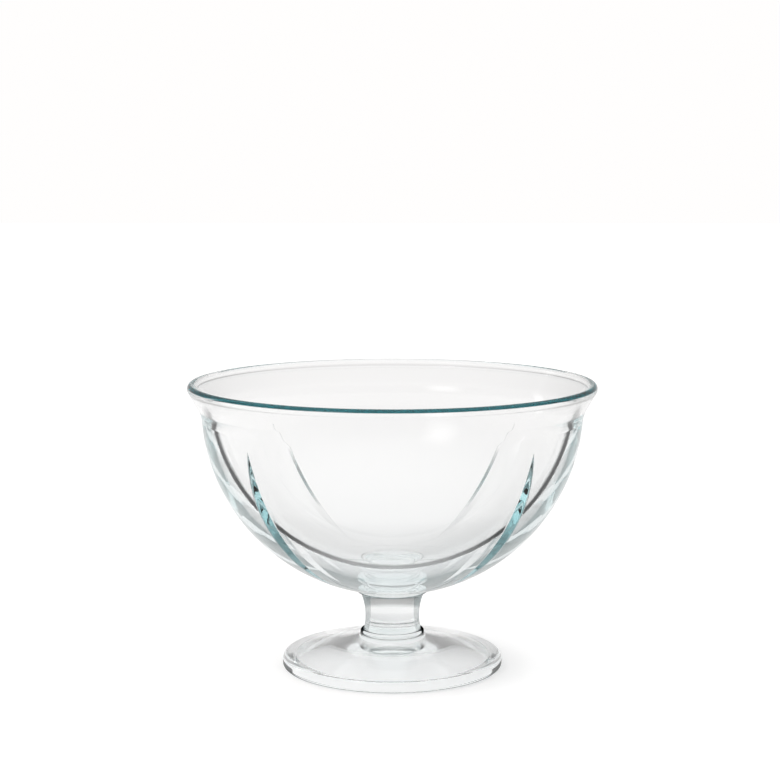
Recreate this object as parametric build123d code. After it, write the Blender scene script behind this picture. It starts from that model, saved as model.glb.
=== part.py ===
from build123d import *
import os
from math import asin, atan2, cos, degrees, radians, sin, sqrt, tan

# Footed glass bowl: five pieces of clear glass fused end to end on one vertical axis.
# Millimetres, +Z up, origin on the table under the middle of the foot.

# ---- driving sizes ----
rim_diameter = 230.0            # outside of the rolled lip
bowl_height = 118.3             # from the bowl's seat to the top of the lip
body_diameter = 214.8           # outside of the round body
bowl_seat_diameter = 38.0       # flat under the body, where it is fused
base_thickness = 9.5            # glass under the middle of the cavity
upper_wall = 4.2                # wall where the flare starts
flare_height = 17.5             # from the top of the lip down to the start of the flare
lip_thickness = 5.0             # across the rolled lip
lip_band = 3.6                  # upright part of the lip

crease_count = 4                # creases pressed into the body, evenly spaced
crease_first_angle = 45.0       # degrees round from +X
crease_depth = 3.0              # at the middle of a crease
crease_opening = 118.0          # degrees between its two sides
crease_top_angle = 10.5         # degrees below the middle of the body
crease_bottom_angle = 67.0      # degrees below the middle of the body

wafer_thickness = 2.0           # ring of glass between bowl and stem
stem_length = 21.7
stem_top_diameter = 36.8
stem_waist_diameter = 30.8
stem_waist_share = 0.46         # height of the waist as a share of the stem's length
stem_bottom_diameter = 32.4
collar_thickness = 3.0          # ring of glass between stem and foot

foot_diameter = 125.0
foot_rise = 17.5                # table to the seat on top of the foot
foot_step = 1.0                 # upright step round that seat
foot_edge_thickness = 6.5
foot_hollow = 9.0               # rise of the hollow under the foot
rest_ring_width = 7.0           # flat ring that stands on the table
foot_top_sag = 0.8              # how far the foot's top dips below a straight cone

join_margin = 0.4               # how far a fused flat reaches past the face it carries

# ---- roundings ----
flare_rounding = 17.5           # outside, where body turns into flare
cavity_rounding = 21.0          # inside, at the same level
lip_shoulder_rounding = 6.0     # where the flare turns into the lip
lip_shoulder_margin = 0.4       # upright left between that rounding and the lip's corner
lip_round_share = 0.48          # lip corners, as a share of the lip's thickness
foot_top_rounding = 3.2
foot_bottom_rounding = 1.6
foot_step_rounding = 0.8
hollow_rounding = 3.0

# ---- levels and radii worked out from the sizes ----
rim_radius = rim_diameter / 2
body_radius = body_diameter / 2
bowl_seat_radius = bowl_seat_diameter / 2
stem_top_radius = stem_top_diameter / 2
stem_bottom_radius = stem_bottom_diameter / 2
foot_radius = foot_diameter / 2

collar_level = foot_rise
stem_level = collar_level + collar_thickness
wafer_level = stem_level + stem_length
bowl_level = wafer_level + wafer_thickness
lip_level = bowl_level + bowl_height
body_centre_level = bowl_level + sqrt(body_radius**2 - bowl_seat_radius**2)

wafer_radius = max(bowl_seat_radius, stem_top_radius) + join_margin + wafer_thickness / 2
collar_radius = stem_bottom_radius + join_margin + collar_thickness / 2
foot_seat_radius = collar_radius + join_margin


def turned(outline):
    """Solid of revolution about the vertical axis from a closed outline in the X-Z plane."""
    return revolve(Plane.XZ * make_face(outline), Axis.Z)


def rounded(section, corner, radius):
    """The flat section with the corner nearest to a given point rounded."""
    return fillet(section.vertices().sort_by_distance(corner)[0], radius)


def round_edged_disc(radius, thickness, level):
    """Disc lying on a level, with a half-round edge."""
    flat = radius - thickness / 2
    low = (flat, level)
    bulge = (radius, level + thickness / 2)
    high = (flat, level + thickness)
    outline = Line((0, level), low)
    outline += ThreePointArc(low, bulge, high)
    outline += Polyline(high, (0, level + thickness), (0, level))
    return turned(outline)


def bowl_shell():
    """Body, flare and rolled lip, turned from one section."""
    flare_level = lip_level - flare_height
    band_level = lip_level - lip_band
    inner_lip_radius = rim_radius - lip_thickness
    floor_level = bowl_level + base_thickness

    outer_flare = (sqrt(body_radius**2 - (flare_level - body_centre_level) ** 2), flare_level)
    inner_flare = (outer_flare[0] - upper_wall, flare_level)
    outer_band = (rim_radius, band_level)
    inner_band = (inner_lip_radius, band_level)
    outer_lip = (rim_radius, lip_level)
    inner_lip = (inner_lip_radius, lip_level)

    # the cavity is round, on the axis, through its floor and the inner flare point
    rise = flare_level - floor_level
    cavity_radius = (rise**2 + inner_flare[0] ** 2) / (2 * rise)
    cavity_centre = floor_level + cavity_radius
    middle = radians(45)
    body_middle = (body_radius * sin(middle), body_centre_level - body_radius * cos(middle))
    cavity_middle = (cavity_radius * sin(middle), cavity_centre - cavity_radius * cos(middle))

    outline = Line((0, bowl_level), (bowl_seat_radius, bowl_level))
    outline += ThreePointArc((bowl_seat_radius, bowl_level), body_middle, outer_flare)
    outline += Polyline(outer_flare, outer_band, outer_lip, inner_lip, inner_band, inner_flare)
    outline += ThreePointArc(inner_flare, cavity_middle, (0, floor_level))
    outline += Line((0, floor_level), (0, bowl_level))

    # the lip's band leaves the shoulder rounding what its corner doesn't take
    lip_rounding = lip_thickness * lip_round_share
    lean = atan2(abs(rim_radius - outer_flare[0]), band_level - flare_level)
    shoulder_room = lip_band - lip_rounding - lip_shoulder_margin
    shoulder_rounding = min(lip_shoulder_rounding, shoulder_room / tan(lean / 2))

    section = make_face(outline)
    section = rounded(section, outer_flare, flare_rounding)
    section = rounded(section, inner_flare, cavity_rounding)
    section = rounded(section, outer_band, shoulder_rounding)
    section = rounded(section, inner_band, shoulder_rounding)
    section = rounded(section, outer_lip, lip_rounding)
    section = rounded(section, inner_lip, lip_rounding)
    return revolve(Plane.XZ * section, Axis.Z)


def crease_cutter():
    """V-shaped ring segment whose valley is an arc in the X-Z plane, deepest half way down."""
    half_span = radians(crease_bottom_angle - crease_top_angle) / 2
    middle = radians(crease_top_angle + crease_bottom_angle) / 2
    half_chord = body_radius * sin(half_span)
    valley_sagitta = body_radius * (1 - cos(half_span)) - crease_depth
    valley_radius = (half_chord**2 + valley_sagitta**2) / (2 * valley_sagitta)

    # the valley's centre lies on the line from the body's centre through the crease's middle
    offset = body_radius - crease_depth - valley_radius
    centre = Vector(offset * cos(middle), 0, body_centre_level - offset * sin(middle))
    reach = 3 * crease_depth
    half_width = reach * tan(radians(crease_opening) / 2)
    away = Vector(cos(middle), 0, -sin(middle))
    section_plane = Plane(origin=centre, x_dir=away, z_dir=away.cross(Vector(0, 1, 0)))
    tip = (valley_radius, 0)
    left = (valley_radius + reach, half_width)
    right = (valley_radius + reach, -half_width)
    section = section_plane * make_face(Polyline(tip, left, right, tip))

    # the ends run on past the body's surface, where they cut nothing
    run_on = 1.25
    half_turn = degrees(asin(half_chord / valley_radius)) * run_on
    half = revolve(section, Axis(centre, (0, 1, 0)), half_turn)
    return half + mirror(half, Plane(origin=centre, z_dir=section_plane.z_dir))


def bowl():
    """The bowl with its creases, each cut by the same tool turned round the axis."""
    cutter = crease_cutter()
    step = 360 / crease_count
    turns = [Rot(Z=crease_first_angle + step * number) for number in range(crease_count)]
    return bowl_shell() - [turn * cutter for turn in turns]


def join_wafer():
    """Thin ring of glass that fuses the stem to the bowl."""
    return round_edged_disc(wafer_radius, wafer_thickness, wafer_level)


def stem():
    """Short solid stem with a waist."""
    bottom = (stem_bottom_radius, stem_level)
    waist = (stem_waist_diameter / 2, stem_level + stem_length * stem_waist_share)
    top = (stem_top_radius, wafer_level)
    outline = Line((0, stem_level), bottom)
    outline += ThreePointArc(bottom, waist, top)
    outline += Polyline(top, (0, wafer_level), (0, stem_level))
    return turned(outline)


def stem_collar():
    """Low ring of glass that fuses the stem to the foot."""
    return round_edged_disc(collar_radius, collar_thickness, collar_level)


def foot():
    """Domed foot with a thick rounded edge and a shallow hollow underneath."""
    step_level = foot_rise - foot_step
    seat = (foot_seat_radius, foot_rise)
    step = (foot_seat_radius, step_level)
    edge_top = (foot_radius, foot_edge_thickness)
    edge_bottom = (foot_radius, 0)
    ring_inside = (foot_radius - foot_bottom_rounding - rest_ring_width, 0)
    slope_middle = (
        (foot_seat_radius + foot_radius) / 2,
        (step_level + foot_edge_thickness) / 2 - foot_top_sag,
    )
    # the hollow is part of a ball whose centre is on the axis
    hollow_radius = (ring_inside[0] ** 2 + foot_hollow**2) / (2 * foot_hollow)
    half_angle = asin(ring_inside[0] / hollow_radius) / 2
    hollow_drop = hollow_radius * (1 - cos(half_angle))
    hollow_middle = (hollow_radius * sin(half_angle), foot_hollow - hollow_drop)

    outline = Polyline((0, foot_rise), seat, step)
    outline += ThreePointArc(step, slope_middle, edge_top)
    outline += Polyline(edge_top, edge_bottom, ring_inside)
    outline += ThreePointArc(ring_inside, hollow_middle, (0, foot_hollow))
    outline += Line((0, foot_hollow), (0, foot_rise))

    section = make_face(outline)
    section = rounded(section, step, foot_step_rounding)
    section = rounded(section, edge_top, foot_top_rounding)
    section = rounded(section, edge_bottom, foot_bottom_rounding)
    section = rounded(section, ring_inside, hollow_rounding)
    return revolve(Plane.XZ * section, Axis.Z)


os.makedirs("parts", exist_ok=True)
pieces = {
    "bowl": bowl(),
    "join_wafer": join_wafer(),
    "stem": stem(),
    "stem_collar": stem_collar(),
    "foot": foot(),
}
for name, piece in pieces.items():
    export_step(piece, f"parts/{name}.step")
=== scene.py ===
import math

import bpy
import numpy as np
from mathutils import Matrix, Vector


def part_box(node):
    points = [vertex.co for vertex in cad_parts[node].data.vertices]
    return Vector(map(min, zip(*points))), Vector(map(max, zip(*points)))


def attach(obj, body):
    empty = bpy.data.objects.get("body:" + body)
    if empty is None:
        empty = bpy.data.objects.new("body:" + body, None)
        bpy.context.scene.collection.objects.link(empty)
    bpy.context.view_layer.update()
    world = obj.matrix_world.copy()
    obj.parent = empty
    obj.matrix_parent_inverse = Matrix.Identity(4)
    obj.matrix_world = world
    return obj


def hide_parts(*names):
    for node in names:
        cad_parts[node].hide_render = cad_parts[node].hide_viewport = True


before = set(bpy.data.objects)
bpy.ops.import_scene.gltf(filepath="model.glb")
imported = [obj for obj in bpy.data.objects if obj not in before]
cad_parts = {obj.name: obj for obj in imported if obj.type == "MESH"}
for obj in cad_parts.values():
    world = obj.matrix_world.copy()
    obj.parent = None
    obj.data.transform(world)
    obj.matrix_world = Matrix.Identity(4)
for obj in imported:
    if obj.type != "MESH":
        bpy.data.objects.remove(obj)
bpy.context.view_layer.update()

mm = 0.001
print("stage 1: frame loaded,", len(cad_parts), "pieces of glass")


def arcPoints(centre, radius, fromAngle, toAngle, count):
    # points on a circle: centre plus radius times the cosine and sine of evenly spaced angles
    angles = np.radians(np.linspace(fromAngle, toAngle, count))
    return np.column_stack([centre[0] + radius * np.cos(angles), centre[1] + radius * np.sin(angles)])


def unit(vector):
    # the vector over its own length
    return np.asarray(vector) / np.linalg.norm(vector)


def turnAbout(centre, start, angle, count):
    # the start point turned about the centre, evenly from nothing to the whole angle
    turn = np.linspace(0, angle, count)[:, None]
    x, y = np.asarray(start) - centre
    moved = np.hstack([x * np.cos(turn) - y * np.sin(turn), x * np.sin(turn) + y * np.cos(turn)])
    return np.asarray(centre) + moved


def roundCorner(before, corner, after, radius, count):
    # arc that touches both legs of a corner: it starts before the corner by the radius times the tangent of
    # half the turn
    inward = unit(np.subtract(corner, before))
    outward = unit(np.subtract(after, corner))
    side = math.copysign(1, inward[0] * outward[1] - inward[1] * outward[0])
    turn = math.acos(np.clip(inward @ outward, -1, 1))
    start = corner - inward * radius * math.tan(turn / 2)
    centre = start + side * radius * np.array([-inward[1], inward[0]])
    return turnAbout(centre, start, side * turn, count)


def roundOffBall(ballCentre, ballRadius, corner, after, radius, count):
    # arc outside a ball that touches the ball and the line from a corner on it: the arc's centre lies a
    # radius off the line and both radii from the ball's centre, a quadratic in the way along the line
    along = unit(np.subtract(after, corner))
    outward = np.array([along[1], -along[0]])
    base = corner + outward * radius - ballCentre
    half = base @ along
    root = math.sqrt(half * half - base @ base + (ballRadius + radius) ** 2)
    way = min(-half + root, -half - root, key=abs)
    centre = ballCentre + base + along * way
    onBall = ballCentre + (centre - ballCentre) * ballRadius / (ballRadius + radius)
    turn = math.acos(np.clip(unit(onBall - centre) @ -outward, -1, 1))
    return turnAbout(centre, onBall, -turn, count)


def filledIn(outline, most):
    # the same outline with points added evenly where two lie further apart than the most allowed
    steps = np.linalg.norm(np.diff(outline, axis=0), axis=1)
    along = np.concatenate([[0], np.cumsum(steps)])
    extra = [
        np.linspace(along[place], along[place + 1], int(steps[place] / most) + 2)[1:-1]
        for place in np.where(steps > most)[0]
    ]
    every = np.sort(np.concatenate([along] + extra))
    return np.column_stack([np.interp(every, along, outline[:, 0]), np.interp(every, along, outline[:, 1])])


def shareBetween(value, low, high):
    # nought up to the low value, one from the high value on, and even between them
    return np.clip((value - low) / (high - low), 0, 1)


def gridToMesh(name, grid, capStart, capEnd):
    # rows run along the profile and columns round the axis; a cap is one point on the axis joined to its row
    rows, columns = grid.shape[:2]
    points = grid.reshape(-1, 3)
    row, column = np.meshgrid(np.arange(rows - 1), np.arange(columns), indexing="ij")
    nextColumn = (column + 1) % columns
    quads = np.stack([row * columns + column, row * columns + nextColumn,
                      (row + 1) * columns + nextColumn, (row + 1) * columns + column], -1).reshape(-1, 4)
    here = np.arange(columns)
    there = (here + 1) % columns
    first, last = len(points), len(points) + 1
    points = np.vstack([points, capStart, capEnd])
    lastRow = (rows - 1) * columns
    startFan = np.column_stack([np.full(columns, first), there, here])
    endFan = np.column_stack([np.full(columns, last), lastRow + here, lastRow + there])
    loops = np.concatenate([quads.ravel(), startFan.ravel(), endFan.ravel()]).astype(np.int32)
    sizes = np.concatenate([np.full(len(quads), 4), np.full(2 * columns, 3)])
    mesh = bpy.data.meshes.new(name)
    mesh.vertices.add(len(points))
    mesh.vertices.foreach_set("co", points.astype(np.float32).ravel())
    mesh.loops.add(len(loops))
    mesh.loops.foreach_set("vertex_index", loops)
    mesh.polygons.add(len(sizes))
    mesh.polygons.foreach_set("loop_start", (np.cumsum(sizes) - sizes).astype(np.int32))
    mesh.polygons.foreach_set("use_smooth", np.ones(len(sizes), bool))
    mesh.update()
    mesh.validate()
    return mesh


def sharpenRings(mesh, rings):
    # edges that lie on a given ring (radius, level) keep their crisp corner
    tolerance = 0.001 * mm
    count = len(mesh.vertices)
    points = np.empty(count * 3, np.float32)
    mesh.vertices.foreach_get("co", points)
    points = points.reshape(-1, 3)
    ends = np.empty(len(mesh.edges) * 2, np.int32)
    mesh.edges.foreach_get("vertices", ends)
    ends = ends.reshape(-1, 2)
    radius = np.hypot(points[:, 0], points[:, 1])
    sharp = np.zeros(len(ends), bool)
    for ringRadius, level in rings:
        onRing = (abs(radius - ringRadius) < tolerance) & (abs(points[:, 2] - level) < tolerance)
        sharp |= onRing[ends].all(1)
    mesh.attributes.new("sharp_edge", "BOOLEAN", "EDGE").data.foreach_set("value", sharp)


def mark(mesh, name, values):
    # one number for each face, or the same for all, under a name that the material reads
    marks = np.broadcast_to(np.asarray(values, np.float32), len(mesh.polygons))
    mesh.attributes.new(name, "FLOAT", "FACE").data.foreach_set("value", np.ascontiguousarray(marks))


def faceCentres(mesh):
    # how far the middle of each face is from the vertical axis, and how high
    centres = np.empty(len(mesh.polygons) * 3, np.float32)
    mesh.polygons.foreach_get("center", centres)
    centres = centres.reshape(-1, 3)
    return np.hypot(centres[:, 0], centres[:, 1]), centres[:, 2]


def markWelds(mesh):
    # faces on a fused joint, on its level and inside its radius, are marked one, and every other face nought
    radius, height = faceCentres(mesh)
    onWeld = np.zeros(len(radius), bool)
    for weldRadius, level in welds:
        onWeld |= (radius < weldRadius) & (abs(height - level) < 2 * weldOverlap)
    mark(mesh, "weld", onWeld)


def turned(name, outline, columns, ringsKeptSharp=()):
    # surface of revolution: each outline point (radius, height) swept round the vertical axis;
    # its first and last points are on the axis
    turn = np.linspace(0, 2 * np.pi, columns, endpoint=False)
    ring = outline[1:-1]
    grid = np.stack([ring[:, :1] * np.cos(turn), ring[:, :1] * np.sin(turn),
                     np.repeat(ring[:, 1:], columns, 1)], -1)
    mesh = gridToMesh(name, grid, (0, 0, outline[0, 1]), (0, 0, outline[-1, 1]))
    sharpenRings(mesh, ringsKeptSharp)
    return mesh


def placed(mesh, node, material):
    # one finished piece: it stands for its CAD node, rides with the body and takes the glass material
    markWelds(mesh)
    piece = bpy.data.objects.new(mesh.name, mesh)
    bpy.context.scene.collection.objects.link(piece)
    mesh.materials.append(material)
    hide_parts(node)
    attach(piece, "root")
    return piece


# levels shared by the pieces, read off the frame
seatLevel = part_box("bowl")[0][2]
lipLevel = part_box("bowl")[1][2]
rimRadius = (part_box("bowl")[1][0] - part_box("bowl")[0][0]) / 2
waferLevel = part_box("join_wafer")[0][2]
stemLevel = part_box("stem")[0][2]
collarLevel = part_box("stem_collar")[0][2]
weldOverlap = 0.02 * mm      # each fused face reaches this far down into the piece below
nearAxis = 89.4              # degrees at which round caps stop, just short of the axis
pointSpacing = 2 * mm        # the most between two points of an outline

bowlSeatRadius = 19.0 * mm
stemTopRadius = 18.4 * mm
stemBottomRadius = 16.2 * mm
collarRadius = (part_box("stem_collar")[1][0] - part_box("stem_collar")[0][0]) / 2
collarFlatRadius = collarRadius - (stemLevel - collarLevel) / 2
welds = [
    (bowlSeatRadius, seatLevel),
    (stemTopRadius, waferLevel),
    (stemBottomRadius, stemLevel),
    (collarFlatRadius, collarLevel),
]


# the pairs of shares below say how far a face has turned from the ray, nought being square on
glassLook = {
    "ior": 1.5,
    "bodyTint": (0.1, 0.68, 0.72, 1),
    "tintPerMetre": 1.2,
    "waveSize": 28.0,
    "waveHeight": 0.02 * mm,
    # painted shade: the lip's top takes this near-black teal for the dark look deep into the wall
    "lipPaintedShade": (0.0001, 0.022, 0.03, 1),
    "lipPaintedShadeDepth": 1.7 * mm,              # down from the top of the lip
    "lipPaintedShadeWidth": 1.9 * mm,              # in from its outside
    "lipPaintedShadeEdge": 0.4 * mm,
    # painted shade: at these facings a marked face passes almost nothing, for dark edge lines
    "grazingFrom": (0.76, 0.82),           # outside the glass, where a marked face goes dark
    "limitFrom": (0.24, 0.248),            # inside it, just before it reflects everything
    "limitTo": (0.2546, 0.259),
    "throughFrom": (0.27, 0.33),           # inside it, where a crease's far side lets light pass
    "grazingPaintedShade": (0.03, 0.035, 0.038, 1),
    "shadowTint": (0.8, 0.82, 0.83, 1),
    # painted shade for the creases' outer faces: the glass's teal made darker
    "creasePaintedShade": (0.24, 0.6, 0.66, 1),
}


untinted = (1.0, 1.0, 1.0, 1)


def newShader(name):
    # empty material with its nodes, its links and its output
    material = bpy.data.materials.new(name)
    material.use_nodes = True
    tree = material.node_tree
    tree.nodes.clear()
    return material, tree.nodes, tree.links, tree.nodes.new("ShaderNodeOutputMaterial")


def linked(nodes, links, operation, *sources):
    # maths node fed by sockets or numbers, in order
    node = nodes.new("ShaderNodeMath")
    node.operation = operation
    for slot, source in enumerate(sources):
        if isinstance(source, (int, float)):
            node.inputs[slot].default_value = source
        else:
            links.new(source, node.inputs[slot])
    return node.outputs[0]


def softStep(nodes, links, source, fromValue, toValue, fromLevel=0, toLevel=1):
    # eases from one level to another while the source goes from one value to another
    step = nodes.new("ShaderNodeMapRange")
    step.interpolation_type = "SMOOTHSTEP"
    settings = {"From Min": fromValue, "From Max": toValue, "To Min": fromLevel, "To Max": toLevel}
    for name, value in settings.items():
        step.inputs[name].default_value = value
    links.new(source, step.inputs["Value"])
    return step.outputs["Result"]


def colourMix(nodes, links, factor, fromColour, toColour):
    # one colour turning into the other as the factor goes from nought to one
    mix = nodes.new("ShaderNodeMix")
    mix.data_type = "RGBA"
    for name, colour in (("A", fromColour), ("B", toColour)):
        if isinstance(colour, tuple):
            mix.inputs[name].default_value = colour
        else:
            links.new(colour, mix.inputs[name])
    links.new(factor, mix.inputs["Factor"])
    return mix.outputs["Result"]


def marked(nodes, name):
    # a number that the mesh carries under this name, nought where it has none
    mark = nodes.new("ShaderNodeAttribute")
    mark.attribute_name = name
    return mark.outputs["Fac"]


def lipShare(nodes, links):
    # one on the lip's outer top, painted a near-black shade for the dark look deep into the wall, nought
    # elsewhere
    look, edge = glassLook, glassLook["lipPaintedShadeEdge"]
    fromLevel, fromRadius = lipLevel - look["lipPaintedShadeDepth"], rimRadius - look["lipPaintedShadeWidth"]
    coordinates = nodes.new("ShaderNodeTexCoord")
    place = nodes.new("ShaderNodeSeparateXYZ")
    links.new(coordinates.outputs["Object"], place.inputs[0])
    squares = [linked(nodes, links, "MULTIPLY", place.outputs[axis], place.outputs[axis]) for axis in "XY"]
    radius = linked(nodes, links, "SQRT", linked(nodes, links, "ADD", *squares))
    high = softStep(nodes, links, place.outputs["Z"], fromLevel - edge, fromLevel)
    outer = softStep(nodes, links, radius, fromRadius - edge, fromRadius)
    return linked(nodes, links, "MULTIPLY", high, outer)


def waveNormal(nodes, links):
    # the faint wave of fire-polished glass
    coordinates = nodes.new("ShaderNodeTexCoord")
    wave = nodes.new("ShaderNodeTexNoise")
    wave.inputs["Scale"].default_value = glassLook["waveSize"]
    wave.inputs["Detail"].default_value = 1
    bump = nodes.new("ShaderNodeBump")
    bump.inputs["Distance"].default_value = glassLook["waveHeight"]
    links.new(coordinates.outputs["Object"], wave.inputs["Vector"])
    links.new(wave.outputs["Fac"], bump.inputs["Height"])
    return bump.outputs["Normal"]


def paintedEdgeShare(nodes, links, facing, outside, inside, joint):
    # share of painted shade that turns a marked face almost black: outside the glass where the ray grazes the
    # face, and inside it just before the face reflects everything; times the mark called dark, and nothing on
    # a fused joint
    look = glassLook
    early = linked(nodes, links, "MULTIPLY", facing, marked(nodes, "grazing"))
    grazing = linked(nodes, links, "MULTIPLY", softStep(nodes, links, early, *look["grazingFrom"]), outside)
    nearLimit = linked(nodes, links, "SUBTRACT", softStep(nodes, links, facing, *look["limitFrom"]),
                       softStep(nodes, links, facing, *look["limitTo"]))
    edgeShade = linked(nodes, links, "MAXIMUM", grazing, linked(nodes, links, "MULTIPLY", nearLimit, inside))
    dark = linked(nodes, links, "MULTIPLY", marked(nodes, "dark"), linked(nodes, links, "SUBTRACT", 1, joint))
    return linked(nodes, links, "MULTIPLY", edgeShade, dark)


def clearGlass():
    # polished glass whose blue-green tint grows with its thickness; its creases take a darker teal and its
    # lip a near-black teal, both painted shade
    look = glassLook
    material, nodes, links, output = newShader("clearGlass")
    surface = nodes.new("ShaderNodeBsdfPrincipled")
    surface.inputs["Transmission Weight"].default_value = 1
    surface.inputs["IOR"].default_value = look["ior"]
    surface.inputs["Roughness"].default_value = 0
    tint = nodes.new("ShaderNodeVolumeAbsorption")
    tint.inputs["Color"].default_value = look["bodyTint"]
    tint.inputs["Density"].default_value = look["tintPerMetre"]
    facing = nodes.new("ShaderNodeLayerWeight").outputs["Facing"]
    inside = nodes.new("ShaderNodeNewGeometry").outputs["Backfacing"]
    outside = linked(nodes, links, "SUBTRACT", 1, inside)
    # painted shade: a crease's outer faces are coloured a darker teal
    inCrease = linked(nodes, links, "MULTIPLY", outside, marked(nodes, "crease"))
    colour = colourMix(nodes, links, inCrease, untinted, look["creasePaintedShade"])
    # painted shade: the lip's top is coloured near-black
    colour = colourMix(nodes, links, lipShare(nodes, links), colour, look["lipPaintedShade"])
    links.new(colour, surface.inputs["Base Color"])
    links.new(waveNormal(nodes, links), surface.inputs["Normal"])

    # lamps shine through and lose some light, a fused joint inside the glass can't be seen, part of the light
    # that meets a crease's far side from within passes it, and the painted shade share passes almost black,
    # which paints dark edge lines
    forLamps = nodes.new("ShaderNodeLightPath").outputs["Is Shadow Ray"]
    joint = marked(nodes, "weld")
    edgeShade = paintedEdgeShare(nodes, links, facing, outside, inside, joint)
    through = linked(nodes, links, "MULTIPLY", inside, marked(nodes, "through"))
    through = linked(nodes, links, "MULTIPLY", through, softStep(nodes, links, facing, *look["throughFrom"]))
    unseen = linked(nodes, links, "MAXIMUM", forLamps, joint)
    clear = nodes.new("ShaderNodeBsdfTransparent")
    shadow = linked(nodes, links, "SUBTRACT", forLamps, joint)
    passed = colourMix(nodes, links, shadow, untinted, look["shadowTint"])
    links.new(colourMix(nodes, links, edgeShade, passed, look["grazingPaintedShade"]), clear.inputs["Color"])
    passing = nodes.new("ShaderNodeMixShader")
    share = linked(nodes, links, "MAXIMUM", unseen, linked(nodes, links, "MAXIMUM", through, edgeShade))
    links.new(share, passing.inputs["Fac"])
    links.new(surface.outputs["BSDF"], passing.inputs[1])
    links.new(clear.outputs["BSDF"], passing.inputs[2])
    links.new(passing.outputs["Shader"], output.inputs["Surface"])
    links.new(tint.outputs["Volume"], output.inputs["Volume"])
    return material


glass = clearGlass()


bowlShape = {
    "bodyRadius": 107.4 * mm,
    "seatRadius": bowlSeatRadius,
    "baseThickness": 9.5 * mm,
    "upperWall": 4.2 * mm,
    "flareHeight": 17.5 * mm,
    "lipThickness": 5.0 * mm,
    "lipBand": 3.6 * mm,
    "flareRounding": 17.5 * mm,
    "cavityRounding": 21.0 * mm,
    "shoulderRounding": 3.1 * mm,
    "lipRounding": 2.4 * mm,
    "creaseCount": 4,
    "creaseFirst": 45.0,
    "creaseDepth": 3.8 * mm,
    "creaseOpening": 95.0,
    "creaseTop": 8.0,
    "creaseBottom": 67.0,
    "edgeRounding": 0.3 * mm,
    "valleyRounding": 0.12 * mm,
    "creaseSeenFrom": 0.8,           # share of its full depth from which a crease holds light back
    "creaseHolds": 0.9,              # how much it holds back at full depth
    # painted dark edges on the cavity wall: how early and how much, by height
    "grazingAtFloor": 0.88,          # mark called grazing, low in the cavity; it is one high in it
    "grazingLow": 65 * mm,
    "grazingHigh": 105 * mm,
    "darkAtFloor": 0.3,              # mark called dark, low in the cavity; it is one high in it
    "darkLow": 58 * mm,
    "darkHigh": 90 * mm,
    "darkBelow": 152 * mm,           # and nought again in the flare
    "darkFade": 6 * mm,
}
halvings = 40                        # enough to find a crossing to the last digit


def creaseValley():
    # the valley is an arc in the crease's own upright plane, through the body's surface at the crease's two
    # ends and a depth below it half way; returned as its centre, from the body's centre, and its radius
    s = bowlShape
    halfSpan = math.radians(s["creaseBottom"] - s["creaseTop"]) / 2
    middle = math.radians(s["creaseBottom"] + s["creaseTop"]) / 2
    halfChord = s["bodyRadius"] * math.sin(halfSpan)
    sagitta = s["bodyRadius"] * (1 - math.cos(halfSpan)) - s["creaseDepth"]
    valleyRadius = (halfChord ** 2 + sagitta ** 2) / (2 * sagitta)
    offset = s["bodyRadius"] - s["creaseDepth"] - valleyRadius
    return offset * math.cos(middle), -offset * math.sin(middle), valleyRadius


def sideRise(across):
    # how far a crease's flat side has risen at a distance from its valley: the distance over the tangent of
    # half the angle between the two sides
    return across / math.tan(math.radians(bowlShape["creaseOpening"] / 2))


def flankDistance(below, aside):
    # distance from the body's centre to a crease's side, along the direction so far below the equator and so
    # far round from the valley: where the way out passes the valley's arc by the side's rise, by halving
    out, up, valleyRadius = creaseValley()
    outward = np.cos(below) * np.cos(aside)
    across = np.abs(np.cos(below) * np.sin(aside))
    upward = -np.sin(below)
    reach = 2 * bowlShape["creaseDepth"]
    low = np.full(np.broadcast(below, aside).shape, bowlShape["bodyRadius"] - reach)
    high = np.full_like(low, bowlShape["bodyRadius"] + reach)
    for _ in range(halvings):
        middle = (low + high) / 2
        way = np.hypot(outward * middle - out, upward * middle - up)
        beyond = way > valleyRadius + sideRise(across * middle)
        low, high = np.where(beyond, low, middle), np.where(beyond, middle, high)
    return low


def creaseHalfWidth(below):
    # how far round from the valley its side meets the body, found by halving an interval
    widest = math.radians(30)
    low, high = np.zeros_like(below), np.full_like(below, widest)
    for _ in range(halvings):
        middle = (low + high) / 2
        inside = flankDistance(below, middle) < bowlShape["bodyRadius"]
        low, high = np.where(inside, middle, low), np.where(inside, high, middle)
    return low


def softLesser(one, other, width):
    # the lesser of two distances, with their meeting rounded over a width
    share = np.clip(0.5 + 0.5 * (other - one) / width, 0, 1)
    return other * (1 - share) + one * share - width * share * (1 - share)


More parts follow.
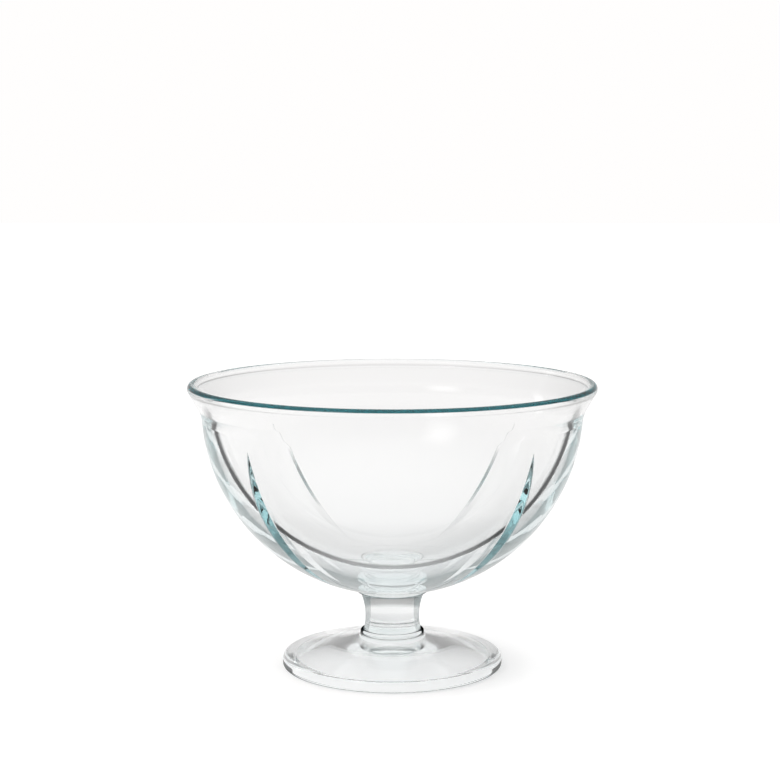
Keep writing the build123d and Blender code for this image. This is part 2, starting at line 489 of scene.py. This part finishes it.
def bowlOutline():
    # seat, body arc, flare, rolled lip, flare again and cavity arc, from the axis round to the axis; the
    # cavity starts half way round the lip
    s = bowlShape
    flarePoints, shoulderPoints, lipPoints = 12, 9, 14
    centre = seatLevel + math.sqrt(s["bodyRadius"] ** 2 - s["seatRadius"] ** 2)
    flareLevel, bandLevel = lipLevel - s["flareHeight"], lipLevel - s["lipBand"]
    floorLevel = seatLevel + s["baseThickness"]
    outerFlare = np.array([math.sqrt(s["bodyRadius"] ** 2 - (flareLevel - centre) ** 2), flareLevel])
    innerFlare = outerFlare - [s["upperWall"], 0]
    outerBand, innerBand = np.array([[rimRadius, bandLevel], [rimRadius - s["lipThickness"], bandLevel]])
    outerLip, innerLip = np.array([[rimRadius, lipLevel], [rimRadius - s["lipThickness"], lipLevel]])
    rise = flareLevel - floorLevel
    cavityRadius = (rise ** 2 + innerFlare[0] ** 2) / (2 * rise)
    bodyCentre, cavityCentre = np.array([[0, centre], [0, floorLevel + cavityRadius]])

    flareStart = roundOffBall(bodyCentre, s["bodyRadius"], outerFlare, outerBand, s["flareRounding"],
                             flarePoints)
    flareEnd = roundOffBall(cavityCentre, cavityRadius, innerFlare, innerBand, s["cavityRounding"],
                           flarePoints)[::-1]
    bodyFrom = -math.degrees(math.acos(s["seatRadius"] / s["bodyRadius"]))
    bodyTo = math.degrees(math.asin((flareStart[0, 1] - centre) / s["bodyRadius"]))
    body = arcPoints(bodyCentre, s["bodyRadius"], bodyFrom, bodyTo, 150)
    cavityFrom = math.degrees(math.asin((flareEnd[-1, 1] - cavityCentre[1]) / cavityRadius))
    cavity = arcPoints(cavityCentre, cavityRadius, cavityFrom, -nearAxis, 96)[1:]
    seatRows = np.column_stack([s["seatRadius"] * np.array([0.3, 0.65, 1]), [seatLevel - weldOverlap] * 3])
    upper = np.vstack([
        flareStart[1:],
        roundCorner(outerFlare, outerBand, outerLip, s["shoulderRounding"], shoulderPoints),
        roundCorner(outerBand, outerLip, innerLip, s["lipRounding"], lipPoints),
        roundCorner(outerLip, innerLip, innerBand, s["lipRounding"], lipPoints),
        roundCorner(innerLip, innerBand, innerFlare, s["shoulderRounding"], shoulderPoints),
        flareEnd,
    ])
    upper = filledIn(upper, pointSpacing)
    ring = np.vstack([seatRows, body, upper, cavity])
    bodyEnd = len(seatRows) + len(body)
    firstCavityRow = bodyEnd + int(np.argmax(upper[:, 1])) + lipPoints
    isBody = np.zeros(len(ring), bool)
    isBody[len(seatRows):bodyEnd] = True
    return ring, isBody, centre, floorLevel, firstCavityRow


def bowlMesh():
    # each row of the outline swept round the axis; on the body the columns gather at the creases' valleys and
    # edges, and the surface is the nearer of the body's ball and the sides of the crease
    s = bowlShape
    ring, isBody, centre, floorLevel, firstCavityRow = bowlOutline()
    below = np.arctan2(centre - ring[:, 1], ring[:, 0])
    halfPanel = math.pi / s["creaseCount"]
    narrow = math.radians(2.2)
    width = np.full(len(ring), narrow)
    width[isBody] = creaseHalfWidth(below[isBody])
    width = np.sqrt(width ** 2 + narrow ** 2)
    inCrease = np.array([0, 0.03, 0.08, 0.16, 0.3, 0.45, 0.6, 0.75, 0.87, 0.94, 0.98])
    beside = np.hstack([0, 0.012, 0.035, 0.07, 0.12, np.arange(0.18, 0.95, 0.07)])
    half = np.hstack([width[:, None] * inCrease, width[:, None] + (halfPanel - width[:, None]) * beside])
    aside = np.hstack([np.full((len(ring), 1), -halfPanel), -half[:, :0:-1], half])
    distance = np.hypot(ring[:, 0], ring[:, 1] - centre)[:, None]
    valleySoft = np.sqrt(aside ** 2 + (s["valleyRounding"] / s["bodyRadius"]) ** 2)
    flank = flankDistance(below[isBody][:, None], valleySoft[isBody])
    scale = np.ones_like(aside)
    scale[isBody] = softLesser(flank, distance[isBody], s["edgeRounding"]) / distance[isBody]
    panels = []
    for number in range(s["creaseCount"]):
        turn = math.radians(s["creaseFirst"]) + number * 2 * halfPanel + aside
        radius = ring[:, :1] * scale
        level = centre + (ring[:, 1:] - centre) * scale
        panels.append(np.stack([radius * np.cos(turn), radius * np.sin(turn), level], -1))
    grid = np.concatenate(panels, 1)
    mesh = gridToMesh("trifleBowlBody", grid, (0, 0, seatLevel - weldOverlap), (0, 0, floorLevel))
    sharpenRings(mesh, [(s["seatRadius"], seatLevel), (s["seatRadius"], seatLevel - weldOverlap)])
    markBowl(mesh, scale, level, firstCavityRow)
    return mesh


def markBowl(mesh, scale, level, firstCavityRow):
    # the cavity's faces are marked with how early and how much they take painted dark edges, by their height;
    # those of a crease with how much painted teal shade and passing light they have: the share of its full
    # depth, and what is left
    s = bowlShape
    leastDepth = 0.02 * mm
    depth = (1 - scale) * s["bodyRadius"]
    faceDepth = np.maximum(depth[:-1], depth[1:])
    faceDepth = np.maximum(faceDepth, np.roll(faceDepth, -1, 1))
    faceDepth = np.tile(faceDepth, (1, s["creaseCount"]))
    columns = faceDepth.shape[1]
    isCavity = np.arange(len(faceDepth))[:, None] * np.ones(columns) >= firstCavityRow
    cap = np.zeros(columns)
    valley = np.tile(faceDepth.max(1, keepdims=True), (1, columns)) / s["creaseDepth"]
    inCrease = faceDepth > s["edgeRounding"]
    passing = np.clip(1 - s["creaseHolds"] * (valley - s["creaseSeenFrom"]) / (1 - s["creaseSeenFrom"]), 0, 1)
    height = np.repeat((level[:-1, 0] + level[1:, 0])[:, None] / 2, columns, 1)
    early = shareBetween(height, s["grazingLow"], s["grazingHigh"])
    early = s["grazingAtFloor"] + (1 - s["grazingAtFloor"]) * early
    dark = s["darkAtFloor"] + (1 - s["darkAtFloor"]) * shareBetween(height, s["darkLow"], s["darkHigh"])
    dark *= 1 - shareBetween(height, s["darkBelow"] - s["darkFade"], s["darkBelow"])
    for name, values, atFloor in (
        ("grazing", isCavity * early, s["grazingAtFloor"]),
        ("dark", isCavity * dark, s["darkAtFloor"]),
        # the crease mark sets how much painted teal shade a face takes
        ("crease", inCrease * np.minimum(valley, 1), 0),
        ("through", (faceDepth > leastDepth) * passing, 0),
    ):
        mark(mesh, name, np.concatenate([values.ravel(), cap, cap + atFloor]))


placed(bowlMesh(), "bowl", glass)
print("stage 2: bowl made")


ringLook = {
    "columns": 160,
    # painted dark edges on the discs
    "grazing": 1.35,
    "dark": 1.0,
}


def roundEdgedDisc(name, node, weldBelow, weldAbove):
    # disc with a half-round edge, as high and as wide as its node, with a ring of points round each weld
    low, high = np.array(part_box(node)[0]), np.array(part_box(node)[1])
    radius, thickness = (high[0] - low[0]) / 2, high[2] - low[2]
    flat, bottom, top = radius - thickness / 2, low[2] - weldOverlap, high[2]
    edge = arcPoints((flat, low[2] + thickness / 2), thickness / 2, -90, 90, 25)
    edge[0, 1] = bottom
    furthest = flat * 0.999
    belowRows = np.column_stack([[weldBelow / 2, min(weldBelow, furthest)], [bottom] * 2])
    aboveRows = np.column_stack([[min(weldAbove, furthest), weldAbove / 2], [top] * 2])
    outline = np.vstack([[[0, bottom]], belowRows, edge, aboveRows, [[0, top]]])
    mesh = turned(name, outline, ringLook["columns"])
    mark(mesh, "grazing", ringLook["grazing"])
    mark(mesh, "dark", ringLook["dark"])
    return mesh


placed(roundEdgedDisc("joinWafer", "join_wafer", stemTopRadius, bowlSeatRadius), "join_wafer", glass)
placed(roundEdgedDisc("stemCollar", "stem_collar", collarFlatRadius, stemBottomRadius), "stem_collar", glass)
print("stage 3: wafer and collar made")


stemShape = {
    "columns": 160,
    "waistRadius": 15.4 * mm,
    "waistShare": 0.46,              # height of the waist as a share of the stem's
    # painted dark edges on the stem
    "grazing": 1.8,
    "dark": 0.5,
}


def stemMesh():
    # circle through the bottom edge, the waist and the top edge, turned about the axis; the circle's centre
    # solves the three linear equations that say each point is equally far from it
    s = stemShape
    points = np.array([[stemBottomRadius, stemLevel],
                       [s["waistRadius"], stemLevel + (waferLevel - stemLevel) * s["waistShare"]],
                       [stemTopRadius, waferLevel]])
    equations = np.column_stack([2 * points, np.ones(3)])
    out, up, rest = np.linalg.solve(equations, (points ** 2).sum(1))
    radius = math.sqrt(rest + out * out + up * up)
    angles = np.degrees(np.arctan2(points[:, 1] - up, points[:, 0] - out)) % 360
    side = arcPoints((out, up), radius, angles[0], angles[2], 60)
    side[0], side[-1] = points[0], points[2]
    low = stemLevel - weldOverlap
    outline = np.vstack([
        [[0, low], [stemBottomRadius / 2, low], [stemBottomRadius, low]], side,
        [[stemTopRadius / 2, waferLevel], [0, waferLevel]],
    ])
    keptSharp = [(stemBottomRadius, low), (stemTopRadius, waferLevel)]
    mesh = turned("waistedStem", outline, s["columns"], keptSharp)
    mark(mesh, "grazing", s["grazing"])
    mark(mesh, "dark", s["dark"])
    return mesh


placed(stemMesh(), "stem", glass)
print("stage 4: stem made")


footShape = {
    "columns": 200,
    "seatMargin": 0.4 * mm,          # how far the seat reaches past the collar
    "step": 1.0 * mm,
    "stepRounding": 0.8 * mm,
    "edgeThickness": 6.5 * mm,
    "hollow": 9.0 * mm,
    "ringWidth": 7.0 * mm,
    "topSag": 0.8 * mm,
    "topRounding": 3.2 * mm,
    "bottomRounding": 1.6 * mm,
    "hollowRounding": 3.0 * mm,
    # painted dark edges on the foot's edge
    "darkHeight": 4.0 * mm,          # the edge is marked up to here
    "grazing": 1.3,
    "dark": 0.75,
}


def footMesh():
    # seat, step, gently sagging top, rounded edge, flat ring and the round hollow underneath
    s = footShape
    low, high = np.array(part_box("foot")[0]), np.array(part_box("foot")[1])
    radius, rise = (high[0] - low[0]) / 2, high[2]
    seatRadius = collarRadius + s["seatMargin"]
    seat, step = np.array([seatRadius, rise]), np.array([seatRadius, rise - s["step"]])
    edgeTop, edgeBottom = np.array([radius, s["edgeThickness"]]), np.array([radius, 0.0])
    ringInside = np.array([radius - s["bottomRounding"] - s["ringWidth"], 0.0])
    share = np.linspace(0, 1, 60)[:, None]
    top = step + (edgeTop - step) * share - np.array([0, 4 * s["topSag"]]) * share * (1 - share)
    stepCorner = roundCorner(seat, step, top[6], s["stepRounding"], 8)      # legs end a few points off
    topCorner = roundCorner(top[-7], edgeTop, edgeBottom, s["topRounding"], 18)
    slope = top[(top[:, 0] > stepCorner[-1, 0]) & (top[:, 0] < topCorner[0, 0])][1:-1]
    hollowRadius = (ringInside[0] ** 2 + s["hollow"] ** 2) / (2 * s["hollow"])
    hollowEnd = math.degrees(math.asin(ringInside[0] / hollowRadius))
    hollow = arcPoints((0, s["hollow"] - hollowRadius), hollowRadius, 90 - hollowEnd, nearAxis, 60)
    hollowCorner = roundCorner(edgeBottom, ringInside, hollow[8], s["hollowRounding"], 8)
    seatRows = np.column_stack([collarFlatRadius * np.array([0.5, 1]), [rise] * 2])
    outline = np.vstack([
        [[0, rise]], seatRows, [seat], stepCorner, slope, topCorner,
        roundCorner(edgeTop, edgeBottom, ringInside, s["bottomRounding"], 14),
        filledIn(hollowCorner, pointSpacing), hollow[hollow[:, 0] < hollowCorner[-1, 0]], [[0, s["hollow"]]],
    ])
    mesh = turned("domedFoot", filledIn(outline, pointSpacing)[::-1], s["columns"], [(seatRadius, rise)])
    away, height = faceCentres(mesh)
    onEdge = (away > radius - s["ringWidth"]) & (height < s["darkHeight"])
    inHollow = (away < ringInside[0]) & (height < s["hollow"] + weldOverlap)
    mark(mesh, "grazing", onEdge * s["grazing"])
    mark(mesh, "dark", onEdge * s["dark"])
    mark(mesh, "through", inHollow)
    return mesh


placed(footMesh(), "foot", glass)
print("stage 5: foot made")


studio = {
    "floorSize": 12.0,
    "floorBelow": 0.2 * mm,          # the floor lies this far under the foot
    "floorColour": 0.75,
    "floorShade": (1.0, 0.985, 0.98, 1),
    "floorReach": 3.0,               # distance from the axis at which the levels below end
    # the floor's own glow for the camera: even far off, lower round the foot as a painted shadow
    "floorGlowPaintedShadow": ((0.0, 0.3), (0.062, 0.3), (0.09, 0.42), (0.3, 0.46), (3.0, 0.46)),
    # its glow for rays through glass: painted light under the foot and painted shade round the bowl
    "floorInGlassPaintedLightAndShade": (
        (0.0, 0.45), (0.055, 0.45), (0.08, 0.12), (0.16, 0.14),
        (0.22, 0.22), (0.4, 0.24), (0.8, 0.28), (3.0, 0.28),
    ),
    "ambient": 0.8,
    "worldShade": (1.0, 0.99, 0.985, 1),
    "worldMost": 1.5,
    "worldInGlass": (                # by the sine of the angle above the horizon
        (0.0, 0.85), (0.1, 0.5), (0.3, 0.35), (0.5, 0.45), (0.7, 0.8), (0.9, 0.95), (1.0, 1.0),
    ),
}


def glassRays(nodes, links, path):
    # one where the ray comes from a reflection or through glass, nought elsewhere
    return linked(nodes, links, "MAXIMUM", path.outputs["Is Glossy Ray"], path.outputs["Is Transmission Ray"])


def levelRamp(nodes, links, source, levels, most):
    # runs through pairs of value and level, easing between them; the levels are shares of the most
    ramp = nodes.new("ShaderNodeValToRGB")
    ramp.color_ramp.interpolation = "EASE"
    elements = ramp.color_ramp.elements
    while len(elements) < len(levels):
        elements.new(0.5)
    for element, (position, level) in zip(elements, levels):
        element.position = position
        element.color = (level / most,) * 3 + (1,)
    links.new(source, ramp.inputs["Fac"])
    return linked(nodes, links, "MULTIPLY", ramp.outputs["Color"], most)


def floorMaterial():
    # matt pale floor that keeps shadows; part of its white is its own glow, by the distance from the bowl's
    # axis: even far off, lower round the foot for the camera as a painted shadow, and for rays that come
    # through glass other levels that paint light under the foot and shade round the bowl
    material, nodes, links, output = newShader("paleFloor")
    matt = nodes.new("ShaderNodeBsdfDiffuse")
    matt.inputs["Color"].default_value = (studio["floorColour"],) * 3 + (1,)
    own = nodes.new("ShaderNodeEmission")
    own.inputs["Color"].default_value = studio["floorShade"]
    both = nodes.new("ShaderNodeAddShader")
    place = nodes.new("ShaderNodeTexCoord")
    away = nodes.new("ShaderNodeVectorMath")
    away.operation = "LENGTH"
    links.new(place.outputs["Object"], away.inputs[0])
    reach = studio["floorReach"]
    share = linked(nodes, links, "DIVIDE", away.outputs["Value"], reach)
    path = nodes.new("ShaderNodeLightPath")
    seenBy = {"floorInGlassPaintedLightAndShade": glassRays(nodes, links, path), "floorGlowPaintedShadow": path.outputs["Is Camera Ray"]}
    shown = []
    for name, rays in seenBy.items():
        levels = [(way / reach, level) for way, level in studio[name]]
        shown.append(linked(nodes, links, "MULTIPLY", rays, levelRamp(nodes, links, share, levels, 1)))
    links.new(linked(nodes, links, "MAXIMUM", *shown), own.inputs["Strength"])
    links.new(matt.outputs[0], both.inputs[0])
    links.new(own.outputs[0], both.inputs[1])
    links.new(both.outputs[0], output.inputs["Surface"])
    return material


def whiteWorld():
    # white to the camera, plain for the lamps' bounce, and by its height for rays that come from glass
    world = bpy.data.worlds.new("whiteStudio")
    world.use_nodes = True
    nodes, links = world.node_tree.nodes, world.node_tree.links
    nodes.clear()
    output = nodes.new("ShaderNodeOutputWorld")
    background = nodes.new("ShaderNodeBackground")
    background.inputs["Color"].default_value = studio["worldShade"]
    direction = nodes.new("ShaderNodeTexCoord")
    parts = nodes.new("ShaderNodeSeparateXYZ")
    links.new(direction.outputs["Generated"], parts.inputs[0])
    dome = levelRamp(nodes, links, parts.outputs["Z"], studio["worldInGlass"], studio["worldMost"])
    path = nodes.new("ShaderNodeLightPath")
    level = nodes.new("ShaderNodeMix")
    level.data_type = "FLOAT"
    level.inputs["A"].default_value = studio["ambient"]
    links.new(glassRays(nodes, links, path), level.inputs["Factor"])
    links.new(dome, level.inputs["B"])
    forCamera = linked(nodes, links, "MAXIMUM", level.outputs[0], path.outputs["Is Camera Ray"])
    links.new(forCamera, background.inputs["Strength"])
    links.new(background.outputs[0], output.inputs["Surface"])
    bpy.context.scene.world = world


squareCorners = ((-1, -1), (1, -1), (1, 1), (-1, 1))


def softBox(name, look):
    # glowing square card that faces the middle of the bowl and fades out towards its edges; it is seen only
    # as a reflection in the glass
    place, half = Vector(look["place"]), look["size"] / 2
    away = (place - Vector((0, 0, bowlMiddle))).normalized()
    aside = away.cross(Vector((0, 0, 1))).normalized() * half * look["narrow"]
    upwards = aside.cross(away).normalized() * half
    mesh = bpy.data.meshes.new(name)
    corners = [place + aside * across + upwards * along for across, along in squareCorners]
    mesh.from_pydata([corner[:] for corner in corners], [], [(0, 1, 2, 3)])
    spread = mesh.uv_layers.new(name="spread")
    spread.data.foreach_set("uv", np.ravel(squareCorners).astype(np.float32))
    material, nodes, links, output = newShader(name)
    where = nodes.new("ShaderNodeUVMap")
    where.uv_map = "spread"
    parts = nodes.new("ShaderNodeSeparateXYZ")
    links.new(where.outputs["UV"], parts.inputs[0])
    sides = [linked(nodes, links, "ABSOLUTE", parts.outputs[axis]) for axis in "XY"]
    fades = [softStep(nodes, links, side, 1 - look["softness"], 1, 1, 0) for side in sides]
    glow = nodes.new("ShaderNodeEmission")
    glow.inputs["Strength"].default_value = look["strength"]
    nothing = nodes.new("ShaderNodeBsdfTransparent")
    mix = nodes.new("ShaderNodeMixShader")
    links.new(linked(nodes, links, "MULTIPLY", *fades), mix.inputs["Fac"])
    links.new(nothing.outputs[0], mix.inputs[1])
    links.new(glow.outputs[0], mix.inputs[2])
    links.new(mix.outputs[0], output.inputs["Surface"])
    mesh.materials.append(material)
    card = bpy.data.objects.new(name, mesh)
    bpy.context.scene.collection.objects.link(card)
    card.visible_camera = False
    card.visible_diffuse = False
    card.visible_transmission = False
    card.visible_shadow = False


def makeFloor():
    # one flat square, half its size to each side of the bowl
    mesh = bpy.data.meshes.new("floor")
    half = studio["floorSize"] / 2
    corners = [(half * across, half * along, 0) for across, along in squareCorners]
    mesh.from_pydata(corners, [], [(0, 1, 2, 3)])
    mesh.materials.append(floorMaterial())
    floor = bpy.data.objects.new("floor", mesh)
    bpy.context.scene.collection.objects.link(floor)
    floor.location.z = -studio["floorBelow"]


makeFloor()
whiteWorld()

bowlMiddle = (seatLevel + lipLevel) / 2
softBoxes = {
    "softBoxLeft": {
        "place": (-0.85, -1.15, 1.0), "size": 0.9, "narrow": 1.0, "softness": 0.9, "strength": 3.0,
    },
    "stripBox": {
        "place": (-1.2, 0.55, 0.35), "size": 1.0, "narrow": 0.3, "softness": 0.8, "strength": 2.5,
    },
}
for boxName, boxLook in softBoxes.items():
    softBox(boxName, boxLook)

keyLight = {"place": (-1.2, -0.5, 1.4), "aim": (0, 0, 0.08), "size": 0.9, "power": 12.0}


def softLamp(name, look):
    # square lamp turned to its aim; it isn't seen in the glass, where the soft boxes are seen instead
    data = bpy.data.lights.new(name, "AREA")
    data.size, data.energy = look["size"], look["power"]
    lamp = bpy.data.objects.new(name, data)
    bpy.context.scene.collection.objects.link(lamp)
    lamp.location = look["place"]
    lamp.visible_glossy = False
    lamp.visible_transmission = False
    lamp.rotation_euler = (Vector(look["aim"]) - Vector(look["place"])).to_track_quat("-Z", "Y").to_euler()


softLamp("keyLight", keyLight)

cameraLook = {
    "distance": 1053 * mm,
    "aside": -1.3 * mm,
    "height": 295 * mm,
    "turn": 0.75,
    "pitch": 7.45,
    "focalPixels": 1887,
    "frameWidth": 780,
    "sensor": 36.0,
}


def makeCamera():
    # camera turned a little round the axis and tipped down, with its lens from the focal length in pixels
    data = bpy.data.cameras.new("camera")
    data.sensor_fit = "HORIZONTAL"
    data.sensor_width = cameraLook["sensor"]
    data.lens = cameraLook["sensor"] * cameraLook["focalPixels"] / cameraLook["frameWidth"]
    camera = bpy.data.objects.new("camera", data)
    bpy.context.scene.collection.objects.link(camera)
    turn = math.radians(cameraLook["turn"])
    camera.location = (cameraLook["distance"] * math.sin(turn) + cameraLook["aside"] * math.cos(turn),
                       cameraLook["aside"] * math.sin(turn) - cameraLook["distance"] * math.cos(turn),
                       cameraLook["height"])
    camera.rotation_euler = (math.radians(90 - cameraLook["pitch"]), 0, turn)
    bpy.context.scene.camera = camera


makeCamera()
bpy.context.scene.view_settings.view_transform = "Standard"

# light runs far inside the wall of the bowl before it comes out, so its paths may be long
pathLength = 48
lightPaths = bpy.context.scene.cycles
lightPaths.max_bounces = pathLength
lightPaths.glossy_bounces = pathLength
lightPaths.transmission_bounces = pathLength
lightPaths.transparent_max_bounces = pathLength
print("stage 6: floor, light and camera made")
